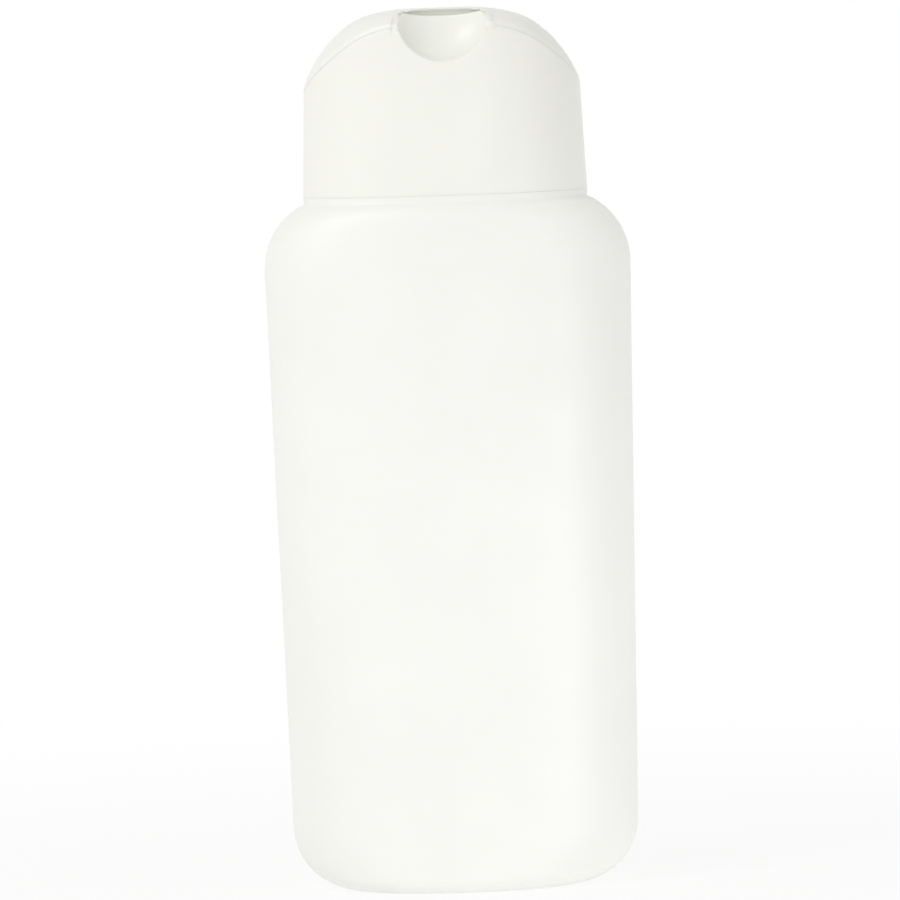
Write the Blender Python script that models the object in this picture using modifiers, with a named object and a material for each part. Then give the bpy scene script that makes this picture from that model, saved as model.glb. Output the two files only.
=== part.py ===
"""Oval squeeze bottle with a screw-on flip-top closure, modelled closed and upright.

Metres, +Z up. The origin is the centre of the bottle's flat base, and the front,
with the thumb notch, faces -Y.
"""

import math

import bmesh
import bpy
from mathutils import Vector

# Clearances
CLEARANCE = 0.0003
OVERRUN = 0.002

# Bottle body
BODY_HALF_WIDTH_TOP = 0.0354
BODY_HALF_WIDTH_BOTTOM = 0.0335
BODY_HALF_DEPTH = 0.0192
SEAT_HEIGHT = 0.1345
SEAT_RISE = 0.0003
SHOULDER_RADIUS = 0.0139
SHOULDER_FRONT_RADIUS = 0.0045
HEEL_RADIUS = 0.0120
HEEL_FRONT_RADIUS = 0.0032
BODY_WALL = 0.0012
BODY_FLOOR = 0.0028
BASE_RECESS = 0.0012
STANDING_RING = 0.0042
BODY_EXPONENT = 2.3

# Neck
NECK_RADIUS = 0.0110
NECK_WALL = 0.0020
NECK_HEIGHT = 0.0164
THREAD_DEPTH = 0.0010
NECK_LIP = 0.0004

# Sealing ring
SEAL_THICKNESS = 0.0010
SEAL_BORE_MARGIN = 0.0003
SEAL_OUTER_MARGIN = 0.0006

# Closure base
SLEEVE_WALL = 0.0012
SLEEVE_FOOT = 0.0015
SKIRT_GAP = 0.0029
CLOSURE_WALL = 0.0013
CLOSURE_HALF_WIDTH = 0.02745
CLOSURE_DRAFT_SHARE = 0.0375
CLOSURE_EXPONENT = 2.2
DECK_THICKNESS = 0.0012
DECK_RIM = 0.0010
RIB_THICKNESS = 0.0009
RIB_FOOT = 0.0050
RIB_ANGLES = (0, 38, 142, 180, 218, 322)
BEAD_RISE = 0.0009
BEAD_THICKNESS = 0.0008

# Arched top, as seen from the front and along the edge
ARCH_RISE = 0.0146
ARCH_EXPONENT = 3.7
ARCH_ROUNDNESS = 0.88
EDGE_FALL = 0.0032
EDGE_START_SHARE = 0.69
PARTING_DROP = 0.0006

# Spout
NOZZLE_FOOT_RADIUS = 0.0046
NOZZLE_TIP_RADIUS = 0.0031
NOZZLE_HEIGHT = 0.0024
ORIFICE_RADIUS = 0.0018

# Thumb notch
NOTCH_HALF_WIDTH = 0.0088
NOTCH_INSET = 0.0058
NOTCH_BELOW_RIDGE = 0.0099
NOTCH_UPRIGHT = 0.0011
NOTCH_WALL = 0.0011
NOTCH_REVEAL = 0.0015
NOTCH_REVEAL_SLOPE = math.radians(15)

# Flip lid
LIP_THICKNESS = 0.0006
PLUG_TIP_RADIUS = 0.0014
PLUG_ROOT_RADIUS = 0.0021
PLUG_DEPTH = 0.0025
PLUG_RIB_REACH = 0.0046
PLUG_RIB_THICKNESS = 0.0008

# Living hinge
HINGE_HALF_WIDTH = 0.0055
HINGE_THICKNESS = 0.0005
HINGE_ARM = 0.0026
HINGE_GROOVE = 0.00022

# Facets
OVAL_POINTS = 72
INNER_OVAL_POINTS = 48
ROUND_STEPS = 48
FILLET_STEPS = 8
TOP_RING_SHARES = (0.96, 0.91, 0.85, 0.77, 0.66, 0.5, 0.3, 0.12)
ELLIPSE_EXPONENT = 2
EDGE_SETTLE_STEPS = 20
SMOOTH_ANGLE = math.radians(35)
MERGE_DISTANCE = 0.00001

# Heights that follow from the sizes above
SHOULDER_TOP = SEAT_HEIGHT - SEAT_RISE
NECK_TOP = SEAT_HEIGHT + NECK_HEIGHT
SEAL_BOTTOM = NECK_TOP + CLEARANCE
SEAL_TOP = SEAL_BOTTOM + SEAL_THICKNESS
CLOSURE_BOTTOM = SEAT_HEIGHT + CLEARANCE
DECK_UNDERSIDE = SEAL_TOP + CLEARANCE
DECK_TOP = DECK_UNDERSIDE + DECK_THICKNESS
PARTING_HEIGHT = DECK_TOP + DECK_RIM
KINK_HEIGHT = PARTING_HEIGHT + PARTING_DROP
RIDGE_HEIGHT = KINK_HEIGHT + ARCH_RISE

# Radii and depths that follow from the sizes above
NECK_BORE = NECK_RADIUS - NECK_WALL
SLEEVE_BORE = NECK_RADIUS + THREAD_DEPTH + CLEARANCE
SLEEVE_RADIUS = SLEEVE_BORE + SLEEVE_WALL
CLOSURE_HALF_DEPTH = SLEEVE_RADIUS + SKIRT_GAP + CLOSURE_WALL
HINGE_Y = CLOSURE_HALF_DEPTH - CLOSURE_DRAFT_SHARE * (PARTING_HEIGHT - CLOSURE_BOTTOM)


def clear_scene():
    for obj in list(bpy.data.objects):
        bpy.data.objects.remove(obj, do_unlink=True)


def new_collection(name):
    collection = bpy.data.collections.new(name)
    bpy.context.scene.collection.children.link(collection)
    return collection


clear_scene()
PARTS = new_collection("flip_top_bottle")
CUTTERS = new_collection("cutters")


def plastic(name, colour, roughness):
    """An opaque moulded plastic."""
    material = bpy.data.materials.new(name)
    material.use_nodes = True
    shader = material.node_tree.nodes["Principled BSDF"]
    shader.inputs["Base Color"].default_value = (*colour, 1)
    shader.inputs["Roughness"].default_value = roughness
    shader.inputs["Metallic"].default_value = 0
    return material


def add_object(name, bm, collection=None, material=None):
    """Makes an object of a bmesh, shaded smooth apart from its real edges."""
    bmesh.ops.recalc_face_normals(bm, faces=bm.faces)
    mesh = bpy.data.meshes.new(name)
    bm.to_mesh(mesh)
    bm.free()
    mesh.shade_smooth()
    mesh.set_sharp_from_angle(angle=SMOOTH_ANGLE)
    obj = bpy.data.objects.new(name, mesh)
    (collection or CUTTERS).objects.link(obj)
    if material:
        obj.data.materials.append(material)
    else:
        obj.hide_render = True
        obj.display_type = "WIRE"
    return obj


def skin(name, rings, collection=None, material=None):
    """A closed loft through rings of equal count. A ring of one point is a pole."""
    bm = bmesh.new()
    loops = [[bm.verts.new(point) for point in ring] for ring in rings]
    for lower, upper in zip(loops, loops[1:]):
        count = max(len(lower), len(upper))
        for i in range(count):
            j = (i + 1) % count
            if len(upper) == 1:
                bm.faces.new((lower[i], lower[j], upper[0]))
            elif len(lower) == 1:
                bm.faces.new((lower[0], upper[j], upper[i]))
            else:
                bm.faces.new((lower[i], lower[j], upper[j], upper[i]))
    for loop in (loops[0], loops[-1]):
        if len(loop) > 1:
            bm.faces.new(loop)
    return add_object(name, bm, collection, material)


def prism(name, outline, offset, collection=None, material=None):
    """A flat outline carried along a vector."""
    bm = bmesh.new()
    face = bm.faces.new([bm.verts.new(point) for point in outline])
    grown = bmesh.ops.extrude_face_region(bm, geom=[face])
    moved = [item for item in grown["geom"] if isinstance(item, bmesh.types.BMVert)]
    bmesh.ops.translate(bm, verts=moved, vec=offset)
    return add_object(name, bm, collection, material)


def block(name, low, high):
    """A box between two corners."""
    bm = bmesh.new()
    bmesh.ops.create_cube(bm, size=1)
    low, high = Vector(low), Vector(high)
    for vert in bm.verts:
        vert.co = (low + high) / 2 + vert.co * (high - low)
    return add_object(name, bm)


def turned(name, profile, collection=None, material=None, steps=ROUND_STEPS):
    """A profile of (radius, height) points, outer side from top to bottom, turned about Z."""
    mesh = bpy.data.meshes.new(name)
    points = [(radius, 0, height) for radius, height in profile]
    closed = profile[0][0] > 0
    edges = [(i, i + 1) for i in range(len(points) - 1)]
    if closed:
        edges.append((len(points) - 1, 0))
    mesh.from_pydata(points, edges, [])
    obj = bpy.data.objects.new(name, mesh)
    (collection or CUTTERS).objects.link(obj)
    screw = obj.modifiers.new("turn", "SCREW")
    screw.steps = screw.render_steps = steps
    screw.use_merge_vertices = True
    screw.merge_threshold = MERGE_DISTANCE
    screw.use_smooth_shade = False
    if material:
        obj.data.materials.append(material)
    else:
        obj.hide_render = True
        obj.display_type = "WIRE"
    return obj


def cut(target, tool, operation="DIFFERENCE"):
    boolean = target.modifiers.new(tool.name, "BOOLEAN")
    boolean.operation = operation
    boolean.solver = "EXACT"
    boolean.object = tool
    return target


def join(target, tool):
    return cut(target, tool, "UNION")


def oval(half_width, half_depth, height, exponent, count, centre_y=0):
    """One horizontal superellipse."""
    points = []
    for i in range(count):
        angle = 2 * math.pi * i / count
        c, s = math.cos(angle), math.sin(angle)
        x = math.copysign(abs(c) ** (2 / exponent), c) * half_width
        y = math.copysign(abs(s) ** (2 / exponent), s) * half_depth
        points.append((x, centre_y + y, height))
    return points


def quarter(radius, along):
    """How far a quarter-round has drawn in when it has gone this far along."""
    along = min(along, radius)
    return radius - math.sqrt(radius * radius - along * along)


def quarter_heights(start, radius, reach, steps):
    """Heights that turn a quarter-round in even steps, as far as a reach above or below."""
    share = min(abs(reach) / radius, 1)
    turn = math.asin(share) / steps
    return [start + math.copysign(radius, reach) * math.sin(turn * i) for i in range(steps + 1)]


def seat_foot():
    """Height where the round shoulder has drawn in to the closure seat's width."""
    left = SHOULDER_RADIUS - (BODY_HALF_WIDTH_TOP - CLOSURE_HALF_WIDTH)
    return SHOULDER_TOP - SHOULDER_RADIUS + math.sqrt(SHOULDER_RADIUS**2 - left**2)


def body_rings(inset, floor, top, count):
    """Oval rings of the bottle between two heights, all drawn in by the inset."""
    heights = {floor, top}
    for end, edge, radii in (
        (floor, 0, (HEEL_RADIUS, HEEL_FRONT_RADIUS)),
        (top, SHOULDER_TOP, (-SHOULDER_RADIUS, -SHOULDER_FRONT_RADIUS)),
    ):
        for radius, steps in zip(radii, (FILLET_STEPS, FILLET_STEPS // 2)):
            start = edge + radius
            heights.update(quarter_heights(start, abs(radius) - inset, end - start, steps))
    rings = []
    last = None
    for z in sorted(heights):
        if not floor <= z <= top or (last is not None and min(z - last, top - z) < CLEARANCE and z < top):
            continue
        last = z
        rings.append(body_ring(inset, z, count))
    return rings


def body_ring(inset, z, count):
    """The bottle's oval at one height, drawn in by the inset."""
    side_start = SHOULDER_TOP - SHOULDER_RADIUS
    front_start = SHOULDER_TOP - SHOULDER_FRONT_RADIUS
    share = min(max((z - HEEL_RADIUS) / (side_start - HEEL_RADIUS), 0), 1)
    width = BODY_HALF_WIDTH_BOTTOM + (BODY_HALF_WIDTH_TOP - BODY_HALF_WIDTH_BOTTOM) * share
    width -= quarter(HEEL_RADIUS - inset, max(HEEL_RADIUS - z, 0))
    width -= quarter(SHOULDER_RADIUS - inset, max(z - side_start, 0))
    depth = BODY_HALF_DEPTH
    depth -= quarter(HEEL_FRONT_RADIUS - inset, max(HEEL_FRONT_RADIUS - z, 0))
    depth -= quarter(SHOULDER_FRONT_RADIUS - inset, max(z - front_start, 0))
    return oval(width - inset, depth - inset, z, BODY_EXPONENT, count)


def closure_half_sizes(height, inset=0):
    """Half width and half depth of the drafted closure wall at a height."""
    drawn_in = CLOSURE_DRAFT_SHARE * (height - CLOSURE_BOTTOM) + inset
    return CLOSURE_HALF_WIDTH - drawn_in, CLOSURE_HALF_DEPTH - drawn_in


def edge_fall(share):
    """Share of the fall towards the edge, from a share of the way out to it."""
    return max((share - EDGE_START_SHARE) / (1 - EDGE_START_SHARE), 0) ** 2


def top_height(x, y):
    """Height of the arched top over a point."""
    half_width, half_depth = closure_half_sizes(KINK_HEIGHT)
    across = min(abs(x) / half_width, 1)
    arch = (1 - across**ARCH_EXPONENT) ** ARCH_ROUNDNESS
    n = CLOSURE_EXPONENT
    out = (across**n + (abs(y) / half_depth) ** n) ** (1 / n)
    return KINK_HEIGHT + ARCH_RISE * arch - EDGE_FALL * (edge_fall(out) - edge_fall(across))


def edge_point(angle, inset=0):
    """Where the drafted wall meets the arched top, at one angle of the oval."""
    c, s = math.cos(angle), math.sin(angle)
    x_share = math.copysign(abs(c) ** (2 / CLOSURE_EXPONENT), c)
    y_share = math.copysign(abs(s) ** (2 / CLOSURE_EXPONENT), s)
    height = KINK_HEIGHT
    for _ in range(EDGE_SETTLE_STEPS):
        half_width, half_depth = closure_half_sizes(height, inset)
        x, y = half_width * x_share, half_depth * y_share
        height = (height + top_height(x, y) - inset) / 2
    return x, y, height


def closure_form(name, inset, bottom, count=OVAL_POINTS, collection=None, material=None):
    """The closure's outer form, or the same form drawn in by a wall, from a height up."""
    half_width, half_depth = closure_half_sizes(bottom, inset)
    rings = [oval(half_width, half_depth, bottom, CLOSURE_EXPONENT, count)]
    edge = [edge_point(2 * math.pi * i / count, inset) for i in range(count)]
    rings.append(edge)
    for share in TOP_RING_SHARES:
        ring = []
        for x, y, _ in edge:
            ring.append((x * share, y * share, top_height(x * share, y * share) - inset))
        rings.append(ring)
    rings.append([(0, 0, top_height(0, 0) - inset)])
    return skin(name, rings, collection, material)


def closure_front_line(shift):
    """The front edge of the closure seen from the front, moved down to the parting."""
    half = OVAL_POINTS // 2
    points = []
    for i in range(half + 1):
        x, _, z = edge_point(-math.pi + math.pi * i / half)
        points.append((x, z - PARTING_DROP + shift))
    return points


def front_parting(name, shift, upward):
    """The space in front of the hinge side above or below the parting line."""
    line = closure_front_line(shift)
    end = RIDGE_HEIGHT + OVERRUN if upward else CLOSURE_BOTTOM - OVERRUN
    wide = CLOSURE_HALF_WIDTH + OVERRUN
    front = -CLOSURE_HALF_DEPTH - OVERRUN
    outline = [(-wide, front, line[0][1])]
    outline += [(x, front, z) for x, z in line]
    outline += [(wide, front, line[-1][1]), (wide, front, end), (-wide, front, end)]
    return prism(name, outline, (0, -front, 0))


def rear_parting(name, shift, upward):
    """The space on the hinge side above or below the parting line."""
    wide = CLOSURE_HALF_WIDTH + OVERRUN
    deep = CLOSURE_HALF_DEPTH + OVERRUN
    level = PARTING_HEIGHT + shift
    if upward:
        return block(name, (-wide, -CLEARANCE, level), (wide, deep, RIDGE_HEIGHT + OVERRUN))
    return block(name, (-wide, -CLEARANCE, CLOSURE_BOTTOM - OVERRUN), (wide, deep, level))


def notch_form(name, grow, top):
    """The thumb scoop: round from below, upright near the ridge, grown evenly by a wall."""
    centre_z = RIDGE_HEIGHT - NOTCH_UPRIGHT
    round_height = NOTCH_BELOW_RIDGE - NOTCH_UPRIGHT + grow
    centre_y = -closure_half_sizes(centre_z)[1]
    rings = []
    for i in range(1, FILLET_STEPS + 1):
        angle = math.pi / 2 * i / FILLET_STEPS
        height = centre_z - round_height * math.cos(angle)
        width = (NOTCH_HALF_WIDTH + grow) * math.sin(angle)
        depth = (NOTCH_INSET + grow) * math.sin(angle)
        rings.append(oval(width, depth, height, ELLIPSE_EXPONENT, INNER_OVAL_POINTS, centre_y))
    width, depth = NOTCH_HALF_WIDTH + grow, NOTCH_INSET + grow
    rings.append(oval(width, depth, top, ELLIPSE_EXPONENT, INNER_OVAL_POINTS, centre_y))
    return skin(name, rings)


def reveal_height(y):
    """Top of the notch wall: it falls towards the back, under the lid's lip."""
    back = -closure_half_sizes(RIDGE_HEIGHT)[1] + NOTCH_INSET
    return RIDGE_HEIGHT - NOTCH_REVEAL + math.tan(NOTCH_REVEAL_SLOPE) * (back - y)


def wall_reach(angle, height, inset):
    """Distance from the axis to the closure's oval wall in one direction."""
    half_width, half_depth = closure_half_sizes(height, inset)
    n = CLOSURE_EXPONENT
    c, s = abs(math.cos(angle)), abs(math.sin(angle))
    return 1 / ((c / half_width) ** n + (s / half_depth) ** n) ** (1 / n)


def make_bottle_body(material):
    foot = seat_foot()
    rings = body_rings(0, 0, foot, OVAL_POINTS)
    half_width, half_depth = closure_half_sizes(CLOSURE_BOTTOM)
    for z in (foot, SEAT_HEIGHT):
        rings.append(oval(half_width, half_depth, z, CLOSURE_EXPONENT, OVAL_POINTS))
    body = skin("bottle_body", rings, PARTS, material)
    neck = [
        (0, NECK_TOP),
        (NECK_RADIUS - NECK_LIP, NECK_TOP),
        (NECK_RADIUS, NECK_TOP - NECK_LIP),
        (NECK_RADIUS, SEAT_HEIGHT - BODY_WALL),
        (0, SEAT_HEIGHT - BODY_WALL),
    ]
    join(body, turned("neck_outside", neck))
    top = SHOULDER_TOP - BODY_WALL
    cut(body, skin("body_cavity", body_rings(BODY_WALL, BODY_FLOOR, top, INNER_OVAL_POINTS)))
    bore = [
        (0, NECK_TOP + OVERRUN),
        (NECK_BORE, NECK_TOP + OVERRUN),
        (NECK_BORE, top - OVERRUN),
        (0, top - OVERRUN),
    ]
    cut(body, turned("neck_bore", bore))
    width = BODY_HALF_WIDTH_BOTTOM - HEEL_RADIUS - STANDING_RING
    depth = BODY_HALF_DEPTH - HEEL_FRONT_RADIUS - STANDING_RING
    recess = [oval(width, depth, -BASE_RECESS, BODY_EXPONENT, INNER_OVAL_POINTS)]
    for i in range(FILLET_STEPS):
        angle = math.pi / 2 * i / FILLET_STEPS
        out = math.cos(angle)
        height = BASE_RECESS * math.sin(angle)
        recess.append(oval(width * out, depth * out, height, BODY_EXPONENT, INNER_OVAL_POINTS))
    recess.append([(0, 0, BASE_RECESS)])
    cut(body, skin("base_recess", recess))
    return body


def make_sealing_ring(material):
    inner = NECK_BORE + SEAL_BORE_MARGIN
    outer = NECK_RADIUS + SEAL_OUTER_MARGIN
    profile = [(outer, SEAL_TOP), (outer, SEAL_BOTTOM), (inner, SEAL_BOTTOM), (inner, SEAL_TOP)]
    return turned("sealing_ring", profile, PARTS, material)


def make_closure_base(material):
    base = closure_form("closure_base", 0, CLOSURE_BOTTOM, OVAL_POINTS, PARTS, material)
    cut(base, front_parting("base_front_parting", -CLEARANCE / 2, True))
    cut(base, rear_parting("base_rear_parting", -CLEARANCE / 2, True))
    cut(base, closure_form("closure_hollow", CLOSURE_WALL, DECK_TOP))
    skirt = []
    for z in (CLOSURE_BOTTOM - OVERRUN, DECK_UNDERSIDE):
        half_width, half_depth = closure_half_sizes(z, CLOSURE_WALL)
        skirt.append(oval(half_width, half_depth, z, CLOSURE_EXPONENT, OVAL_POINTS))
    cut(base, skin("skirt_hollow", skirt))
    deck_middle = (DECK_UNDERSIDE + DECK_TOP) / 2
    foot = CLOSURE_BOTTOM + SLEEVE_FOOT
    sleeve = [
        (SLEEVE_RADIUS, deck_middle),
        (SLEEVE_RADIUS, foot),
        (SLEEVE_BORE, foot),
        (SLEEVE_BORE, deck_middle),
    ]
    join(base, turned("thread_sleeve", sleeve))
    for i, degrees in enumerate(RIB_ANGLES):
        angle = math.radians(degrees)
        start = SLEEVE_BORE + SLEEVE_WALL / 2
        reach = wall_reach(angle, KINK_HEIGHT, CLOSURE_WALL / 4)
        rib = block(
            f"rib_{i}",
            (start, -RIB_THICKNESS / 2, CLOSURE_BOTTOM + RIB_FOOT),
            (reach, RIB_THICKNESS / 2, deck_middle),
        )
        rib.rotation_euler.z = angle
        join(base, rib)
    nozzle = [
        (0, DECK_TOP + NOZZLE_HEIGHT),
        (NOZZLE_TIP_RADIUS, DECK_TOP + NOZZLE_HEIGHT),
        (NOZZLE_FOOT_RADIUS, DECK_TOP),
        (NOZZLE_FOOT_RADIUS, deck_middle),
        (0, deck_middle),
    ]
    join(base, turned("nozzle", nozzle))
    join(base, make_deck_bead())
    join(base, make_notch_wall())
    cut(base, notch_form("thumb_scoop", 0, RIDGE_HEIGHT + OVERRUN))
    orifice = [
        (0, DECK_TOP + NOZZLE_HEIGHT + OVERRUN),
        (ORIFICE_RADIUS, DECK_TOP + NOZZLE_HEIGHT + OVERRUN),
        (ORIFICE_RADIUS, DECK_UNDERSIDE - OVERRUN),
        (0, DECK_UNDERSIDE - OVERRUN),
    ]
    cut(base, turned("orifice", orifice, steps=ROUND_STEPS // 2))
    cut(base, hinge_pocket("base_hinge_pocket", -1))
    return base


def make_deck_bead():
    """A low rim on the deck that centres the lid's rear wall."""
    rims = []
    top = PARTING_HEIGHT + BEAD_RISE
    foot = (DECK_UNDERSIDE + DECK_TOP) / 2
    outside = CLOSURE_WALL + CLEARANCE
    for name, inset, low, high in (
        ("deck_bead", outside, foot, top),
        ("deck_bead_inside", outside + BEAD_THICKNESS, foot - OVERRUN, top + OVERRUN),
    ):
        rings = []
        for z in (low, high):
            half_width, half_depth = closure_half_sizes(z, inset)
            rings.append(oval(half_width, half_depth, z, CLOSURE_EXPONENT, INNER_OVAL_POINTS))
        rims.append(skin(name, rings))
    bead, inside = rims
    cut(bead, inside)
    wide = CLOSURE_HALF_WIDTH
    deep = CLOSURE_HALF_DEPTH
    front = block("deck_bead_front", (-wide, -deep, foot - OVERRUN), (wide, CLEARANCE, top + OVERRUN))
    return cut(bead, front)


def make_notch_wall():
    """The curved wall behind the scoop, up to the lid's lip."""
    wall = notch_form("notch_wall", NOTCH_WALL, RIDGE_HEIGHT + OVERRUN)
    cut(wall, closure_form("notch_wall_limit", CLEARANCE, DECK_TOP), "INTERSECT")
    front = -CLOSURE_HALF_DEPTH - OVERRUN
    wide = CLOSURE_HALF_WIDTH
    top = RIDGE_HEIGHT + CLOSURE_HALF_DEPTH
    outline = [
        (-wide, front, reveal_height(front)),
        (-wide, 0, reveal_height(0)),
        (-wide, 0, top),
        (-wide, front, top),
    ]
    cut(wall, prism("notch_wall_top", outline, (2 * wide, 0, 0)))
    return wall


def hinge_pocket(name, side):
    """Room for the hinge strap in the wall above (1) or below (-1) the parting."""
    wide = HINGE_HALF_WIDTH + CLEARANCE
    inner = HINGE_Y - HINGE_THICKNESS - CLEARANCE
    reach = PARTING_HEIGHT + side * (HINGE_ARM + CLEARANCE)
    back = PARTING_HEIGHT - side * OVERRUN
    return block(
        name,
        (-wide, inner, min(reach, back)),
        (wide, HINGE_Y + OVERRUN, max(reach, back)),
    )


def make_flip_lid(material):
    lid = closure_form("flip_lid", 0, DECK_TOP, OVAL_POINTS, PARTS, material)
    cut(lid, closure_form("lid_hollow", CLOSURE_WALL, DECK_TOP - OVERRUN))
    cut(lid, front_parting("lid_front_parting", CLEARANCE / 2, False))
    cut(lid, rear_parting("lid_rear_parting", CLEARANCE / 2, False))
    root = RIDGE_HEIGHT - CLOSURE_WALL / 2
    nozzle_tip = DECK_TOP + NOZZLE_HEIGHT
    plug_tip = nozzle_tip - PLUG_DEPTH
    plug = [
        (0, root),
        (PLUG_ROOT_RADIUS, root),
        (PLUG_TIP_RADIUS, nozzle_tip + CLEARANCE),
        (PLUG_TIP_RADIUS, plug_tip + CLEARANCE),
        (PLUG_TIP_RADIUS - CLEARANCE, plug_tip),
        (0, plug_tip),
    ]
    join(lid, turned("plug", plug, steps=ROUND_STEPS // 2))
    half = PLUG_RIB_THICKNESS / 2
    for side in (-1, 1):
        for turn in (0, math.pi / 2):
            rib = [
                (0, -half, root),
                (side * PLUG_RIB_REACH, -half, root),
                (side * PLUG_TIP_RADIUS / 2, -half, nozzle_tip + NOZZLE_HEIGHT),
                (0, -half, nozzle_tip + NOZZLE_HEIGHT),
            ]
            fin = prism("plug_rib", rib, (0, PLUG_RIB_THICKNESS, 0))
            fin.rotation_euler.z = turn
            join(lid, fin)
    cut(lid, notch_form("lid_notch", 0, RIDGE_HEIGHT + OVERRUN))
    cut(lid, notch_form("lid_lip_space", NOTCH_WALL + CLEARANCE, RIDGE_HEIGHT - LIP_THICKNESS))
    cut(lid, hinge_pocket("lid_hinge_pocket", 1))
    return lid


def make_living_hinge(material):
    """A flat strap over the parting line, with a thin groove where it bends."""
    y, z = HINGE_Y, PARTING_HEIGHT
    thin = y - HINGE_THICKNESS
    outline = [
        (-HINGE_HALF_WIDTH, y, z + HINGE_ARM),
        (-HINGE_HALF_WIDTH, thin, z + HINGE_ARM),
        (-HINGE_HALF_WIDTH, thin, z + HINGE_GROOVE),
        (-HINGE_HALF_WIDTH, thin + HINGE_GROOVE, z),
        (-HINGE_HALF_WIDTH, thin, z - HINGE_GROOVE),
        (-HINGE_HALF_WIDTH, thin, z - HINGE_ARM),
        (-HINGE_HALF_WIDTH, y, z - HINGE_ARM),
    ]
    return prism("living_hinge", outline, (2 * HINGE_HALF_WIDTH, 0, 0), PARTS, material)


def empty_at(name, position):
    pivot = bpy.data.objects.new(name, None)
    pivot.location = position
    pivot.empty_display_size = CLOSURE_WALL
    PARTS.objects.link(pivot)
    return pivot


def parent_to(child, pivot):
    """Keeps the child where it is while its pivot carries it."""
    child.parent = pivot
    child.matrix_parent_inverse = pivot.matrix_world.inverted()


bottle_plastic = plastic("bottle_plastic", (0.90, 0.91, 0.86), 0.42)
closure_plastic = plastic("closure_plastic", (0.90, 0.91, 0.85), 0.38)
seal_foam = plastic("seal_foam", (0.93, 0.93, 0.92), 0.80)

bottle_body = make_bottle_body(bottle_plastic)
sealing_ring = make_sealing_ring(seal_foam)
closure_base = make_closure_base(closure_plastic)
flip_lid = make_flip_lid(closure_plastic)
living_hinge = make_living_hinge(closure_plastic)

screw_axis = empty_at("screw_axis", (0, 0, CLOSURE_BOTTOM))
lid_axis = empty_at("lid_axis", (0, HINGE_Y, PARTING_HEIGHT))
bpy.context.view_layer.update()
parent_to(lid_axis, screw_axis)
for piece in (sealing_ring, closure_base, living_hinge):
    parent_to(piece, screw_axis)
bpy.context.view_layer.update()
parent_to(flip_lid, lid_axis)
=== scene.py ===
"""Looks of an off-white oval squeeze bottle with a screw-on flip-top closure.

Metres, +Z up, front towards -Y. The moulded pieces are fine lofts of oval rings
that stand for the plain solids, and the plastics, studio and camera follow them.
"""

import math

import bmesh
import bpy
import numpy as np
from mathutils import Matrix, Vector


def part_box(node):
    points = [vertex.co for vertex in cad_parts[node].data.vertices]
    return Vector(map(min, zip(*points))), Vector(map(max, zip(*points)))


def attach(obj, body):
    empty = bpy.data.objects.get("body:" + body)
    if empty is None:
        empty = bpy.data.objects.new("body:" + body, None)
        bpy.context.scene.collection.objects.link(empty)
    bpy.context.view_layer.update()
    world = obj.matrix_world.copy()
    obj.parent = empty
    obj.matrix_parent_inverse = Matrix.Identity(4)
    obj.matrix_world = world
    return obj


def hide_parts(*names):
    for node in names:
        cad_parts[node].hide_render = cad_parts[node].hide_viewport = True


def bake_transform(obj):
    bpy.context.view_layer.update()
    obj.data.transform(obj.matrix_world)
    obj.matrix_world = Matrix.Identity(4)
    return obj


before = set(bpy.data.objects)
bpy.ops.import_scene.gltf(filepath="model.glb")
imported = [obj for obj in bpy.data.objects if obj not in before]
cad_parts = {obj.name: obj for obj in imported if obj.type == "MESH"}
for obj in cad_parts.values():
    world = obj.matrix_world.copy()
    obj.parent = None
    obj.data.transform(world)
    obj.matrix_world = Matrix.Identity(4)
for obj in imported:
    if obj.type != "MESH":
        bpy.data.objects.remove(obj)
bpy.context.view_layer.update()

# Places read from the solids
_, body_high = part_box("bottle_body")
base_low, base_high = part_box("closure_base")
_, lid_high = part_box("flip_lid")
_, seal_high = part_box("sealing_ring")
hinge_low, hinge_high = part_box("living_hinge")
NECK_TOP = body_high.z
CLOSURE_BOTTOM = base_low.z
CLOSURE_HALF_WIDTH = base_high.x
CLOSURE_HALF_DEPTH = -base_low.y
RIDGE_HEIGHT = lid_high.z
SEAL_TOP = seal_high.z
PARTING_HEIGHT = (hinge_low.z + hinge_high.z) / 2

# Gap that the solids keep between pieces that move apart
CLEARANCE = 0.0003

# Bottle body
BODY_HALF_WIDTH_TOP = body_high.x
BODY_HALF_WIDTH_BOTTOM = 0.0335
BODY_HALF_DEPTH = body_high.y
BODY_EXPONENT = 2.3
SEAT_LOWERED = 0.0002
SEAT_HEIGHT = CLOSURE_BOTTOM - CLEARANCE - SEAT_LOWERED
SEAT_RISE = 0.0001
SHOULDER_TOP = SEAT_HEIGHT - SEAT_RISE
SHOULDER_RADIUS = 0.0139
SHOULDER_FRONT_RADIUS = 0.0045
HEEL_RADIUS = 0.0120
HEEL_FRONT_RADIUS = 0.0032
BODY_WALL = 0.0012
BODY_FLOOR = 0.0028
BASE_RECESS = 0.0012
STANDING_RING = 0.0042
RECESS_HALF_WIDTH = BODY_HALF_WIDTH_BOTTOM - HEEL_RADIUS - STANDING_RING
RECESS_HALF_DEPTH = BODY_HALF_DEPTH - HEEL_FRONT_RADIUS - STANDING_RING
SEAT_ROUNDING = 0.00003
SEAT_FILLET = 0.0006
MOULD_LINE_DEPTH = 0.00004
MOULD_LINE_DEGREES = 0.35
PINCH_HALF_LENGTH = 0.0150
PINCH_HALF_WIDTH = 0.0005
PINCH_DEPTH = 0.00015

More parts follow.
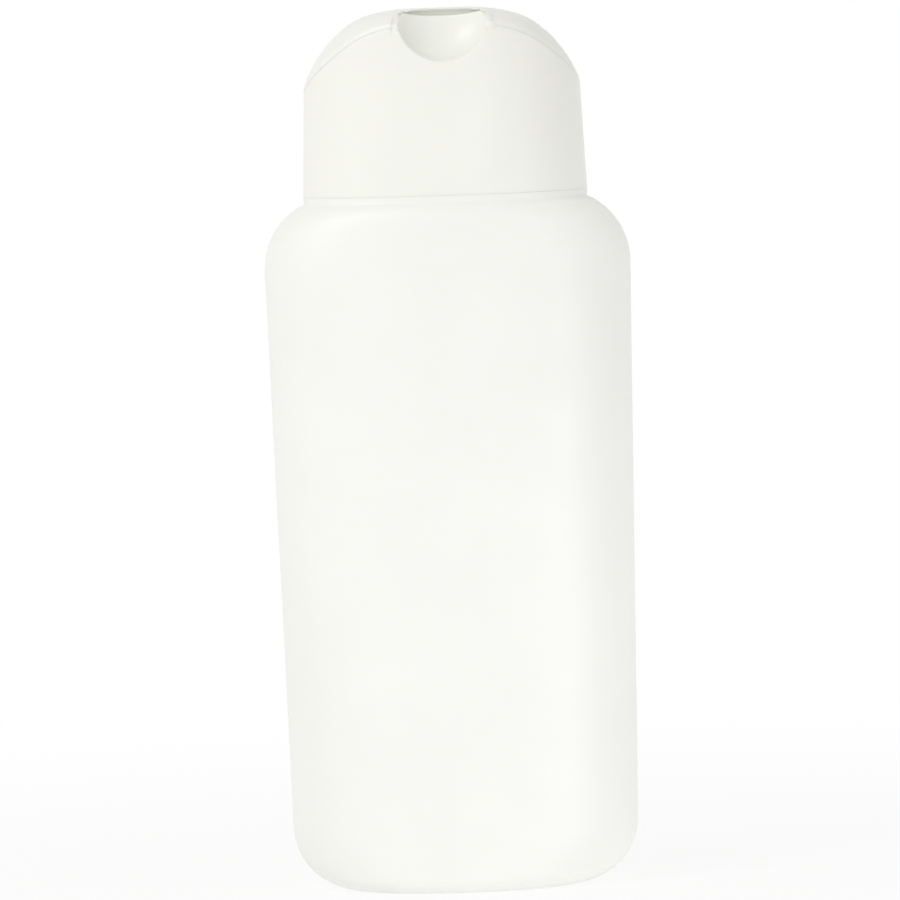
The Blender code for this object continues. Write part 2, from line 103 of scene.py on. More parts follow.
# Neck and screw thread
NECK_RADIUS = 0.0110
NECK_BORE = 0.0090
NECK_ROUNDING = 0.0004
THREAD_DEPTH = 0.0010
THREAD_PITCH = 0.003175
THREAD_TURNS = 1.5
THREAD_BELOW_LIP = 0.0022
THREAD_TOP = NECK_TOP - THREAD_BELOW_LIP
THREAD_LOW = THREAD_TOP - THREAD_PITCH * THREAD_TURNS
THREAD_CREST = 0.00035
THREAD_FOOT = 0.0010
THREAD_FADE = math.radians(28)

# Closure base
CLOSURE_WALL = 0.0013
CLOSURE_DRAFT_SHARE = 0.0375
CLOSURE_EXPONENT = 2.2
SEAM_GAP = 0.00001
SKIRT_END = SEAT_HEIGHT + SEAM_GAP
SKIRT_ROUNDING = 0.00003
SKIRT_FLARE = 0.00002
SKIRT_FLARE_HEIGHT = 0.0005
DECK_THICKNESS = 0.0012
DECK_UNDERSIDE = SEAL_TOP + CLEARANCE
DECK_TOP = DECK_UNDERSIDE + DECK_THICKNESS
SLEEVE_BORE = NECK_RADIUS + THREAD_DEPTH + CLEARANCE
SLEEVE_WALL = 0.0012
SLEEVE_RADIUS = SLEEVE_BORE + SLEEVE_WALL
SLEEVE_RAISED = 0.0015
SLEEVE_FOOT = CLOSURE_BOTTOM + SLEEVE_RAISED
RIB_THICKNESS = 0.0009
RIB_RAISED = 0.0050
RIB_FOOT = CLOSURE_BOTTOM + RIB_RAISED
RIB_ANGLES = (0, 38, 142, 180, 218, 322)
BEAD_RISE = 0.0009
BEAD_THICKNESS = 0.0008
BEAD_FADE = 0.08
EDGE_ROUNDING = 0.0002

# Arched top
PARTING_DROP = 0.0006
KINK_HEIGHT = PARTING_HEIGHT + PARTING_DROP
ARCH_RISE = RIDGE_HEIGHT - KINK_HEIGHT
ARCH_EXPONENT = 3.7
ARCH_ROUNDNESS = 0.88
EDGE_FALL = 0.0032
EDGE_START_SHARE = 0.69
ROOF_ROUNDING = 0.00045
PARTING_GAP = 0.00002
PARTING_CURVE = 0.0006
PARTING_CREST = 0.00022
PARTING_LAP = 0.00012
LID_STEP = 0.0003
LID_STEP_BLEND = 0.3

# Spout and plug
NOZZLE_FOOT_RADIUS = 0.0046
NOZZLE_TIP_RADIUS = 0.0031
NOZZLE_RISE = 0.0024
NOZZLE_TIP = DECK_TOP + NOZZLE_RISE
ORIFICE_RADIUS = 0.0018
PLUG_TIP_RADIUS = 0.0014
PLUG_ROOT_RADIUS = 0.0021
PLUG_REACH = 0.0025
PLUG_TIP = NOZZLE_TIP - PLUG_REACH
PLUG_ROUNDING = 0.0003
PLUG_WEB_REACH = 0.0046
PLUG_WEB_THICKNESS = 0.0008

# Thumb notch
NOTCH_HALF_WIDTH = 0.0088
NOTCH_INSET = 0.0058
NOTCH_BELOW_RIDGE = 0.0099
NOTCH_UPRIGHT = 0.0011
NOTCH_ROUND_HEIGHT = NOTCH_BELOW_RIDGE - NOTCH_UPRIGHT
NOTCH_CENTRE = RIDGE_HEIGHT - NOTCH_UPRIGHT
NOTCH_WALL = 0.0011
NOTCH_REVEAL = 0.0013
NOTCH_REVEAL_SLOPE = math.radians(15)
NOTCH_SOFTNESS = 0.0005
NOTCH_TOP_ROUNDING = 0.00055
LIP_THICKNESS = 0.0006
LIP_EDGE = 0.00006
LIP_OVERLAP = 0.0003
LIP_POCKET = 0.0002
LIP_SKIRT_WALL = 0.0008
COLUMN_SHIFT = 0.0040

# Living hinge
HINGE_HALF_WIDTH = 0.0055
HINGE_THICKNESS = 0.0005
HINGE_GROOVE = 0.00022
HINGE_ARM = (hinge_high.z - hinge_low.z) / 2
HINGE_BEND = 0.0011
HINGE_SUNK = 0.00002

# Fineness of the meshes
BODY_COLUMNS = 160
BODY_ROWS = 10
BODY_ROUND_ROWS = 16
BODY_ROW_MIN = CLEARANCE / 4
NECK_ROW = 0.00025
NOTCH_COLUMN = 0.00027
FINE_COLUMN = 0.00003
SIDE_COLUMNS = 120
ROUND_STEPS = 4
SHARP_ANGLE = math.radians(75)
SAME_POINT = 1e-7
SETTLE_STEPS = 20

# Floor and light
FLOOR_SIZE = 8
FLOOR_DROP = 0.00002
FLOOR_COLOUR = (0.94, 0.94, 0.93)
FLOOR_ROUGHNESS = 0.9
FLOOR_WHITE = 0.85
FLOOR_GLOW = 0.5
FADE_START = 0.04
FADE_END = 0.35
SURROUND_COLOUR = (1, 0.995, 0.98)
SURROUND_STRENGTH = 0.665

# Camera, fitted to the outline of the object
CAMERA_AIM = Vector((-0.00073, 0, 0.08435))
CAMERA_AZIMUTH = math.radians(-2.06)
CAMERA_ELEVATION = math.radians(3.90)
CAMERA_ROLL = math.radians(1.90)
CAMERA_DISTANCE = 1.5
CAMERA_LENS = 309.6
CAMERA_SENSOR = 36
CAMERA_REACH = 20


def power(value, exponent):
    """A power that keeps the sign, for superellipses."""
    return np.sign(value) * np.abs(value) ** exponent


def oval(angles, half_width, half_depth, height, exponent):
    """A horizontal superellipse, with one height or one for each column."""
    x = half_width * power(np.cos(angles), 2 / exponent)
    y = half_depth * power(np.sin(angles), 2 / exponent)
    return np.stack([x, y, np.broadcast_to(height, x.shape)], axis=1)


def circle(angles, radius, height):
    """A horizontal circle with the columns of an oval."""
    return oval(angles, radius, radius, height, 2)


def turn_points(centre, radius, start, end):
    """(out, up) points of a rounding about a centre, 0 degrees outward and 90 upward."""
    points = []
    for i in range(ROUND_STEPS + 1):
        angle = math.radians(start + (end - start) * i / ROUND_STEPS)
        points.append((centre[0] + radius * math.cos(angle), centre[1] + radius * math.sin(angle)))
    return points


def smooth_step(value):
    """A soft climb from 0 to 1, level at both ends."""
    value = np.clip(value, 0, 1)
    return value * value * (3 - 2 * value)


def smooth_max(a, b, softness):
    """The larger of two values, blended where they are nearly equal."""
    return (a + b + np.sqrt((a - b) ** 2 + softness**2)) / 2


def loft(name, rings, ring_shaped=False, first_pole=None, last_pole=None):
    """A skin through rings of equal count, closed by poles or by joining its ends."""
    count = len(rings[0])
    verts = np.concatenate(rings).tolist()
    here = np.arange(count)
    there = (here + 1) % count
    faces = []
    rows = len(rings)
    for row in range(rows if ring_shaped else rows - 1):
        low, high = row * count, (row + 1) % rows * count
        faces += np.stack([low + here, low + there, high + there, high + here], axis=1).tolist()
    for pole, low in ((first_pole, 0), (last_pole, (rows - 1) * count)):
        if pole is not None:
            faces += [(low + i, low + j, len(verts)) for i, j in zip(here.tolist(), there.tolist())]
            verts.append(pole)
    mesh = bpy.data.meshes.new(name)
    mesh.from_pydata(verts, [], faces)
    return finish_piece(name, mesh)


def finish_piece(name, mesh):
    """Drops faces without area, turns the rest outward, shades them smooth and links the piece."""
    bm = bmesh.new()
    bm.from_mesh(mesh)
    bmesh.ops.dissolve_degenerate(bm, dist=SAME_POINT, edges=bm.edges)
    bmesh.ops.recalc_face_normals(bm, faces=bm.faces)
    bm.to_mesh(mesh)
    bm.free()
    mesh.shade_smooth()
    mesh.set_sharp_from_angle(angle=SHARP_ANGLE)
    piece = bpy.data.objects.new(name, mesh)
    bpy.context.scene.collection.objects.link(piece)
    normals = piece.modifiers.new("even_normals", "WEIGHTED_NORMAL")
    normals.keep_sharp = True
    return piece


def dress(piece, body, slot, material, *nodes):
    """Gives a piece its body and its material, and hides the nodes it stands for; the slot is not
    used.
    """
    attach(piece, body)
    if nodes:
        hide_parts(*nodes)
    piece.data.materials.clear()
    piece.data.materials.append(material)


def draw_in(radius, along):
    """How far a quarter-round has drawn in when it has gone this far along."""
    along = min(max(along, 0), radius)
    return radius - math.sqrt(radius * radius - along * along)


def body_half_sizes(z, inset=0):
    """The bottle's half width and half depth at a height."""
    side_start = SHOULDER_TOP - SHOULDER_RADIUS
    front_start = SHOULDER_TOP - SHOULDER_FRONT_RADIUS
    share = min(max((z - HEEL_RADIUS) / (side_start - HEEL_RADIUS), 0), 1)
    width = BODY_HALF_WIDTH_BOTTOM + (BODY_HALF_WIDTH_TOP - BODY_HALF_WIDTH_BOTTOM) * share
    width -= draw_in(HEEL_RADIUS - inset, HEEL_RADIUS - z)
    width -= draw_in(SHOULDER_RADIUS - inset, z - side_start)
    depth = BODY_HALF_DEPTH
    depth -= draw_in(HEEL_FRONT_RADIUS - inset, HEEL_FRONT_RADIUS - z)
    depth -= draw_in(SHOULDER_FRONT_RADIUS - inset, z - front_start)
    return width - inset, depth - inset


def body_heights(floor, top, inset):
    """Heights that follow both roundings at each end and climb the straight evenly."""
    heights = {floor, top}
    for edge, radii in (
        (0, (HEEL_RADIUS, HEEL_FRONT_RADIUS)),
        (SHOULDER_TOP, (-SHOULDER_RADIUS, -SHOULDER_FRONT_RADIUS)),
    ):
        for radius in radii:
            reach = math.copysign(abs(radius) - inset, radius)
            for i in range(BODY_ROUND_ROWS + 1):
                heights.add(edge + radius - reach * math.sin(math.pi / 2 * i / BODY_ROUND_ROWS))
    start, end = HEEL_RADIUS, SHOULDER_TOP - SHOULDER_RADIUS
    heights.update(start + (end - start) * i / BODY_ROWS for i in range(1, BODY_ROWS))
    kept = []
    for z in sorted(heights):
        if floor <= z <= top and (not kept or z - kept[-1] > BODY_ROW_MIN):
            kept.append(z)
    return kept


def thread_rise(angles, z, low):
    """Share of the full thread at each column of a ring, for a right-hand helix from a height."""
    rise = np.zeros_like(angles)
    length = 2 * math.pi * THREAD_TURNS
    around = np.mod(angles, 2 * math.pi)
    for lap in range(math.ceil(THREAD_TURNS)):
        along = around + 2 * math.pi * lap
        centre = low + THREAD_PITCH * along / (2 * math.pi)
        side = np.clip((THREAD_FOOT - np.abs(z - centre)) / (THREAD_FOOT - THREAD_CREST), 0, 1)
        fade = smooth_step(along / THREAD_FADE) * smooth_step((length - along) / THREAD_FADE)
        rise = np.maximum(rise, smooth_step(side) * fade)
    return rise


def make_bottle():
    """One skin from the base's recess up round the neck and down the inside."""
    angles = 2 * math.pi * np.arange(BODY_COLUMNS) / BODY_COLUMNS
    fine = np.radians([-MOULD_LINE_DEGREES, -0.12, 0.12, MOULD_LINE_DEGREES])
    angles = np.sort(np.mod(np.concatenate([angles, fine, math.pi + fine]), 2 * math.pi))
    off_line = np.abs(np.mod(angles + math.pi / 2, math.pi) - math.pi / 2)
    groove = np.clip(1 - off_line / math.radians(MOULD_LINE_DEGREES), 0, 1) * MOULD_LINE_DEPTH
    rings = []

    def add(half_width, half_depth, z, exponent=BODY_EXPONENT, marked=0):
        ring = oval(angles, half_width, half_depth, z, exponent)
        ring[:, 0] -= np.sign(ring[:, 0]) * groove * marked
        rings.append(ring)

    # The recess, and the walls up to the fillet at the closure's seat
    for share in np.linspace(0.06, 1, 14):
        add(RECESS_HALF_WIDTH * share, RECESS_HALF_DEPTH * share, recess_height(share))
    foot = SHOULDER_TOP - SHOULDER_RADIUS + math.sqrt(
        SHOULDER_RADIUS**2 - (SHOULDER_RADIUS - BODY_HALF_WIDTH_TOP + CLOSURE_HALF_WIDTH) ** 2
    )
    for z in body_heights(0, foot - SEAT_FILLET, 0):
        add(*body_half_sizes(z), z, marked=1)

    # The fillet, the seat and its level top in to the neck
    for along in (-0.7, -0.4, -0.15, 0.1, 0.35, 0.65, 1):
        z = foot + SEAT_FILLET * along
        seat_share = smooth_step((along + 1) / 2)
        shoulder = oval(angles, *body_half_sizes(z), z, BODY_EXPONENT)
        seat = oval(angles, CLOSURE_HALF_WIDTH, CLOSURE_HALF_DEPTH, z, CLOSURE_EXPONENT)
        rings.append(shoulder * (1 - seat_share) + seat * seat_share)
    for out, up in turn_points((0, SEAT_HEIGHT - SEAT_ROUNDING), SEAT_ROUNDING, 0, 90):
        inset = SEAT_ROUNDING - out
        add(CLOSURE_HALF_WIDTH - inset, CLOSURE_HALF_DEPTH - inset, up, CLOSURE_EXPONENT)
    around = NECK_RADIUS + NECK_ROUNDING
    for share in (0.25, 0.5, 0.75):
        across = oval(angles, CLOSURE_HALF_WIDTH, CLOSURE_HALF_DEPTH, SEAT_HEIGHT, CLOSURE_EXPONENT)
        rings.append(across * (1 - share) + circle(angles, around, SEAT_HEIGHT) * share)
    for out, up in turn_points((around, SEAT_HEIGHT + NECK_ROUNDING), NECK_ROUNDING, 270, 180):
        rings.append(circle(angles, out, up))

    # The threaded neck and its lip
    first = SEAT_HEIGHT + 2 * NECK_ROUNDING
    last = NECK_TOP - 2 * NECK_ROUNDING
    for z in np.linspace(first, last, round((last - first) / NECK_ROW)):
        rise = thread_rise(angles, z, THREAD_LOW)
        rings.append(circle(angles, NECK_RADIUS + THREAD_DEPTH * rise, z))
    lip = NECK_TOP - NECK_ROUNDING
    for out, up in turn_points((NECK_RADIUS - NECK_ROUNDING, lip), NECK_ROUNDING, 0, 90):
        rings.append(circle(angles, out, up))
    for out, up in turn_points((NECK_BORE + NECK_ROUNDING, lip), NECK_ROUNDING, 90, 180):
        rings.append(circle(angles, out, up))

    # The bore and the inside of the walls, down to the floor
    ceiling = SHOULDER_TOP - BODY_WALL
    for z in (NECK_TOP - 0.004, NECK_TOP - 0.010, ceiling + NECK_ROUNDING):
        rings.append(circle(angles, NECK_BORE, z))
    rings.append(circle(angles, NECK_BORE + NECK_ROUNDING, ceiling))
    for z in reversed(body_heights(BODY_FLOOR, ceiling, BODY_WALL)):
        add(*body_half_sizes(z, BODY_WALL), z)
    width, depth = body_half_sizes(BODY_FLOOR, BODY_WALL)
    for share in (0.75, 0.5, 0.25, 0.08):
        add(width * share, depth * share, BODY_FLOOR)
    return loft(
        "bottle_shell", rings, first_pole=(0, 0, BASE_RECESS), last_pole=(0, 0, BODY_FLOOR)
    )


def recess_height(share):
    """Height of the base's recess, from its middle at 0 to its edge at 1."""
    return BASE_RECESS * (1 + np.cos(math.pi * share)) / 2


def make_pinch_line():
    """The weld line that blow moulding leaves across the base's recess."""
    angles = np.linspace(0, 2 * math.pi, 16, endpoint=False)
    rings = []
    for along in np.linspace(-0.995, 0.995, 41):
        size = (1 - along**8) ** 0.5
        y = PINCH_HALF_WIDTH * size * np.cos(angles)
        middle = recess_height(abs(along) * PINCH_HALF_LENGTH / RECESS_HALF_WIDTH)
        z = middle + PINCH_DEPTH * size * np.sin(angles)
        rings.append(np.stack([np.full_like(y, along * PINCH_HALF_LENGTH), y, z], axis=1))
    end = recess_height(PINCH_HALF_LENGTH / RECESS_HALF_WIDTH)
    poles = [(side * PINCH_HALF_LENGTH, 0, end) for side in (-1, 1)]
    return loft("pinch_line", rings, first_pole=poles[0], last_pole=poles[1])


def closure_half_sizes(z, inset=0):
    """The closure's half width and half depth at a height, with the wall's draft."""
    drawn_in = CLOSURE_DRAFT_SHARE * (z - CLOSURE_BOTTOM) + inset
    return CLOSURE_HALF_WIDTH - drawn_in, CLOSURE_HALF_DEPTH - drawn_in


def closure_ring(angles, z, inset, lift=0):
    """The wall's oval at a height, drawn in, then lifted by one amount or column by column."""
    return oval(angles, *closure_half_sizes(z, inset), z + lift, CLOSURE_EXPONENT)


def closure_depth(x, half_width, half_depth):
    """How far in front of or behind the middle the closure's oval lies at an x."""
    n = CLOSURE_EXPONENT
    return half_depth * (1 - np.minimum(np.abs(x) / half_width, 1) ** n) ** (1 / n)


def edge_fall(share):
    """Share of the fall of the arched top's edge, from none inside its start to 1 at the wall."""
    return np.maximum((share - EDGE_START_SHARE) / (1 - EDGE_START_SHARE), 0) ** 2


def roof(x, y):
    """Height of the arched top over a point."""
    half_width, half_depth = closure_half_sizes(KINK_HEIGHT)
    across = np.minimum(np.abs(x) / half_width, 1)
    arch = (1 - across**ARCH_EXPONENT) ** ARCH_ROUNDNESS
    n = CLOSURE_EXPONENT
    out = (across**n + (np.abs(y) / half_depth) ** n) ** (1 / n)
    return KINK_HEIGHT + ARCH_RISE * arch - EDGE_FALL * (edge_fall(out) - edge_fall(across))


def wall_point(angles, z, inset=0):
    """x and y of the drafted wall at each column, each with its own height."""
    half_width, half_depth = closure_half_sizes(z, inset)
    x = half_width * power(np.cos(angles), 2 / CLOSURE_EXPONENT)
    y = half_depth * power(np.sin(angles), 2 / CLOSURE_EXPONENT)
    return x, y


def roof_edge(angles):
    """Where the drafted wall meets the arched top, at each column."""
    z = np.full_like(angles, KINK_HEIGHT)
    for _ in range(SETTLE_STEPS):
        x, y = wall_point(angles, z)
        z = (z + roof(x, y)) / 2
    return x, y, z


def scoop_depth(x, z, grow=0):
    """y of the thumb scoop's wall: round below its centre and upright above it."""
    centre_y = -closure_half_sizes(NOTCH_CENTRE)[1]
    below = np.maximum(NOTCH_CENTRE - z, 0) / (NOTCH_ROUND_HEIGHT + grow)
    inside = 1 - (x / (NOTCH_HALF_WIDTH + grow)) ** 2 - below**2
    return centre_y + (NOTCH_INSET + grow) * power(inside, 0.5)


def reveal_height(y):
    """Top of the notch wall, which falls towards the back under the lid's lip."""
    back = -closure_half_sizes(RIDGE_HEIGHT)[1] + NOTCH_INSET
    return RIDGE_HEIGHT - NOTCH_REVEAL + math.tan(NOTCH_REVEAL_SLOPE) * (back - y)


def closure_angles():
    """Columns round the closure, close together at the notch and at the strap's sides."""
    n = CLOSURE_EXPONENT
    notch_level = closure_half_sizes(RIDGE_HEIGHT - 2 * NOTCH_REVEAL)[0]
    hinge_level = closure_half_sizes(PARTING_HEIGHT)[0]
    notch_side = NOTCH_HALF_WIDTH + NOTCH_WALL + PARTING_GAP / 2
    strap_side = HINGE_HALF_WIDTH + CLEARANCE
    reach = notch_side + 4 * NOTCH_COLUMN
    fine = FINE_COLUMN * np.arange(-4, 5)
    across = np.linspace(-reach, reach, 2 * round(reach / NOTCH_COLUMN) + 1)
    front = np.concatenate([across, notch_side + fine, -notch_side + fine]) / notch_level
    narrow = FINE_COLUMN * np.array([-1, 1])
    rear = np.concatenate([strap_side + narrow, -strap_side + narrow]) / hinge_level
    front = -np.arccos(power(front, n / 2))
    rear = np.arccos(power(rear, n / 2))
    even = np.linspace(front.max(), front.min() + 2 * math.pi, SIDE_COLUMNS + 2)[1:-1]
    spacing = even[1] - even[0]
    even = [angle for angle in even if np.abs(rear - angle).min() > spacing / 5]
    return np.sort(np.concatenate([front, rear, even]))


def column_shares(angles):
    """How far across the oval each column lies, from 0 in the middle to 1 at the ends."""
    return np.abs(power(np.cos(angles), 2 / CLOSURE_EXPONENT))


def notch_columns(angles, grow):
    """The front columns that cross the thumb notch, grown by a width on each side."""
    level = closure_half_sizes(RIDGE_HEIGHT - 2 * NOTCH_REVEAL)[0]
    return (np.sin(angles) < 0) & (column_shares(angles) < (NOTCH_HALF_WIDTH + grow) / level)


def inner_wall(angles, z, grow, extra=0):
    """x and y of the wall's inner side, which also keeps behind the notch grown by a thickness.

    Near the notch a column keeps its outer x, so that both sides of the notch wall match.
    """
    out_x, _ = wall_point(angles, z)
    x, y = wall_point(angles, z, CLOSURE_WALL)
    corner = NOTCH_HALF_WIDTH + NOTCH_WALL
    near = (1 - smooth_step((np.abs(out_x) - corner) / COLUMN_SHIFT)) * (np.sin(angles) < 0)
    x = x + (out_x - x) * near
    front_y = -closure_depth(x, *closure_half_sizes(z, CLOSURE_WALL))
    front_y = smooth_max(front_y, scoop_depth(x, z, grow) + extra, NOTCH_SOFTNESS)
    reaches = (np.sin(angles) < 0) & (np.abs(x) < 2 * NOTCH_HALF_WIDTH)
    return x, np.where(reaches, front_y, y)


def strap_columns(angles):
    """The columns on the hinge side that the hinge strap covers."""
    width = (HINGE_HALF_WIDTH + CLEARANCE) / closure_half_sizes(PARTING_HEIGHT)[0]
    return (np.sin(angles) > 0) & (column_shares(angles) < width)


def strap_pocket(z, covered):
    """How far the wall is sunk behind the hinge strap."""
    within = HINGE_ARM - HINGE_GROOVE / 2 - np.abs(z - PARTING_HEIGHT)
    return (HINGE_THICKNESS + HINGE_GROOVE / 2) * smooth_step(within / HINGE_GROOVE + 0.5) * covered


def settle(height, surface, limit):
    """Heights at which a surface that moves with height meets a limit that does too."""
    for _ in range(SETTLE_STEPS):
        x, y = surface(height)
        height = (height + limit(x, y)) / 2
    return height


def front_height(angles, shift):
    """The parting: below the front edge in front, and level on the hinge side."""
    _, _, z = roof_edge(angles)
    in_front = np.sin(angles) < 0
    return np.where(in_front, z - PARTING_DROP, PARTING_HEIGHT) + shift


def closure_wall_rings(angles):
    """Rings from the skirt's foot up the outer wall, over the rim and down to the deck."""
    in_front = np.sin(angles) < 0
    in_notch = notch_columns(angles, NOTCH_WALL)
    covered = strap_columns(angles)
    parting = front_height(angles, -PARTING_GAP / 2)
    forward = smooth_step(-np.sin(angles) / LID_STEP_BLEND)

    def outside(z):
        x, y = wall_point(angles, z)
        y = y + LID_STEP * smooth_step((z - parting) / PARTING_CURVE + 1) * in_notch
        scooped = smooth_max(y, scoop_depth(x, z), NOTCH_SOFTNESS)
        near = in_front & (np.abs(x) < 2 * NOTCH_HALF_WIDTH)
        return x, np.where(near, scooped, y) - strap_pocket(z, covered)

    def inside(z):
        return inner_wall(angles, z, NOTCH_WALL)

    def under_roof(x, y):
        return np.minimum(reveal_height(y), roof(x, y) - PARTING_GAP)

    def wall_top(surface):
        start = np.full_like(angles, RIDGE_HEIGHT - NOTCH_REVEAL)
        top = settle(start, surface, under_roof)
        return np.where(in_notch, np.maximum(top, parting), parting)

    lap = PARTING_LAP * forward * ~in_notch
    outer_top = wall_top(outside) + lap
    inner_top = wall_top(inside)
    x, y = outside(outer_top)
    gap = roof(x, y) - outer_top - LIP_THICKNESS
    under_lid = smooth_step(gap / (NOTCH_REVEAL - LIP_THICKNESS)) * in_notch
    across_top = np.where(in_notch, EDGE_ROUNDING, PARTING_CREST)
    across_top += (NOTCH_TOP_ROUNDING - across_top) * under_lid
    down_side = np.where(in_notch, across_top, across_top + (PARTING_CURVE - across_top) * forward)
    r = EDGE_ROUNDING
    inner_r = np.where(in_notch, LIP_EDGE, r)
    foot = SKIRT_ROUNDING
    low = SKIRT_END + foot + SKIRT_FLARE_HEIGHT
    rings = []

    # The skirt's foot and flare, then the outer wall up to its rim
    for out, up in turn_points((-foot, SKIRT_END + foot), foot, 270, 360):
        rings.append(closure_ring(angles, up, -out - SKIRT_FLARE))
    for share in (0.2, 0.5, 0.8):
        inset = SKIRT_FLARE * (smooth_step(share) - 1)
        rings.append(closure_ring(angles, SKIRT_END + foot + SKIRT_FLARE_HEIGHT * share, inset))
    pocket_share = (PARTING_HEIGHT - HINGE_ARM - low) / (PARTING_HEIGHT - low)
    edge = HINGE_GROOVE / (PARTING_HEIGHT - low)
    shares = np.concatenate([
        np.linspace(0, 0.7, 12),
        np.linspace(0.72, 1, 44),
        pocket_share + edge * np.array([-0.5, 0.5, 1, 1.5]),
    ])
    for share in np.sort(shares):
        z = low + (outer_top - down_side - low) * share
        x, y = outside(z)
        rings.append(np.stack([x, y, z], axis=1))

    # The rim, laid over the lid's foot in front, and the inner wall down to the deck
    outer_edge = rings[-1].copy()
    x, y = inside(inner_top - inner_r)
    inner_edge = np.stack([x, y, inner_top - inner_r], axis=1)
    inward = inner_edge - outer_edge
    inward = inward / np.linalg.norm(inward[:, :2], axis=1)[:, None] * [1, 1, 0]
    upward = np.array([[0, 0, 1]])
    for turn in np.radians([12, 24, 36, 48, 60, 75, 90]):
        in_by = across_top * (1 - math.cos(turn))
        up_by = down_side * math.sin(turn)
        rings.append(outer_edge + inward * in_by[:, None] + upward * up_by[:, None])
    for past, down in ((0.2, 0.3), (0.3, 1)):
        in_by = across_top + (LID_STEP - PARTING_CREST) * past * ~in_notch
        up_by = down_side - lap * down
        rings.append(outer_edge + inward * in_by[:, None] + upward * up_by[:, None])
    for angle in np.radians([90, 60, 30]):
        back_by, up_by = inner_r * (1 - math.cos(angle)), inner_r * math.sin(angle)
        rings.append(inner_edge - inward * back_by[:, None] + upward * up_by[:, None])
    floor = DECK_TOP + r
    for share in np.concatenate([np.linspace(0, 0.36, 30), np.linspace(0.4, 1, 9)]):
        z = inner_top - inner_r + (floor - inner_top + inner_r) * share
        x, y = inside(z)
        rings.append(np.stack([x, y, z], axis=1))
    return rings


def closure_deck_rings(angles):
    """Rings over the deck and spout, down the threaded sleeve and down the skirt's inside."""
    r = EDGE_ROUNDING
    rings = []

    def add_oval(z, inset, lift=0):
        rings.append(closure_ring(angles, z, inset, lift))

    def add_round(out, up, start, end):
        for along, height in turn_points((out, up), r, start, end):
            rings.append(circle(angles, along, height))

    # The deck, with its bead on the hinge side, and the spout
    bead = smooth_step(np.sin(angles) / BEAD_FADE)
    bead_top = PARTING_HEIGHT + BEAD_RISE - DECK_TOP
    outer = CLOSURE_WALL + CLEARANCE
    inner = outer + BEAD_THICKNESS
    for inset, rise in (
        (outer - r / 2, 0),
        (outer, 0.1),
        (outer, 0.86),
        (outer + r, 1),
        (inner - r, 1),
        (inner, 0.86),
        (inner, 0.1),
        (inner + r, 0),
    ):
        add_oval(DECK_TOP, inset, bead_top * rise * bead)
    last = rings[-1].copy()
    spout_foot = circle(angles, NOZZLE_FOOT_RADIUS + r, DECK_TOP)
    for share in (0.3, 0.6, 0.85, 1):
        rings.append(last * (1 - share) + spout_foot * share)
    for share in (0.08, 0.35, 0.7, 0.92):
        radius = NOZZLE_FOOT_RADIUS + (NOZZLE_TIP_RADIUS - NOZZLE_FOOT_RADIUS) * share
        rings.append(circle(angles, radius, DECK_TOP + (NOZZLE_TIP - DECK_TOP) * share))
    add_round(NOZZLE_TIP_RADIUS - r, NOZZLE_TIP - r, 30, 90)
    add_round(ORIFICE_RADIUS + r, NOZZLE_TIP - r, 90, 180)
    add_round(ORIFICE_RADIUS + r, DECK_UNDERSIDE + r, 180, 270)

    # The threaded sleeve, and the skirt's inside down to its foot
    rings.append(circle(angles, NECK_RADIUS, DECK_UNDERSIDE))
    rings.append(circle(angles, SLEEVE_BORE - r, DECK_UNDERSIDE))
    start, end = DECK_UNDERSIDE - r, SLEEVE_FOOT + 2 * r
    inner_low = THREAD_LOW - THREAD_PITCH / 2
    for z in np.linspace(start, end, round((start - end) / NECK_ROW)):
        rise = thread_rise(angles, z, inner_low)
        rings.append(circle(angles, SLEEVE_BORE - THREAD_DEPTH * rise, z))
    add_round(SLEEVE_BORE + r, SLEEVE_FOOT + r, 180, 270)
    add_round(SLEEVE_RADIUS - r, SLEEVE_FOOT + r, 270, 360)
    for share in (0.3, 0.6, 0.9):
        z = SLEEVE_FOOT + (DECK_UNDERSIDE - SLEEVE_FOOT) * share
        rings.append(circle(angles, SLEEVE_RADIUS, z))
    add_round(SLEEVE_RADIUS + r, DECK_UNDERSIDE - r, 180, 90)
    add_oval(DECK_UNDERSIDE, CLOSURE_WALL + r)
    foot = SKIRT_END + SKIRT_ROUNDING
    for share in (0.02, 0.25, 0.5, 0.75, 0.97):
        add_oval(DECK_UNDERSIDE + (foot - DECK_UNDERSIDE) * share, CLOSURE_WALL)
    add_oval(SKIRT_END, CLOSURE_WALL - SKIRT_ROUNDING)
    return rings


def make_closure():
    """One ring-shaped skin with the skirt, notch wall, deck, spout and threaded sleeve."""
    angles = closure_angles()
    rings = closure_wall_rings(angles) + closure_deck_rings(angles)
    return loft("closure_shell", rings, ring_shaped=True)


def spread_in(outline, share):
    """The outline drawn towards the axis, sideways less than forwards, to clear the notch."""
    return outline * [math.sin(math.pi / 2 * share), share]


def inward_normals(outline):
    """Unit normals into an outline that runs anticlockwise."""
    along = np.roll(outline, -1, axis=0) - np.roll(outline, 1, axis=0)
    normals = np.stack([-along[:, 1], along[:, 0]], axis=1)
    return normals / np.linalg.norm(normals, axis=1)[:, None]


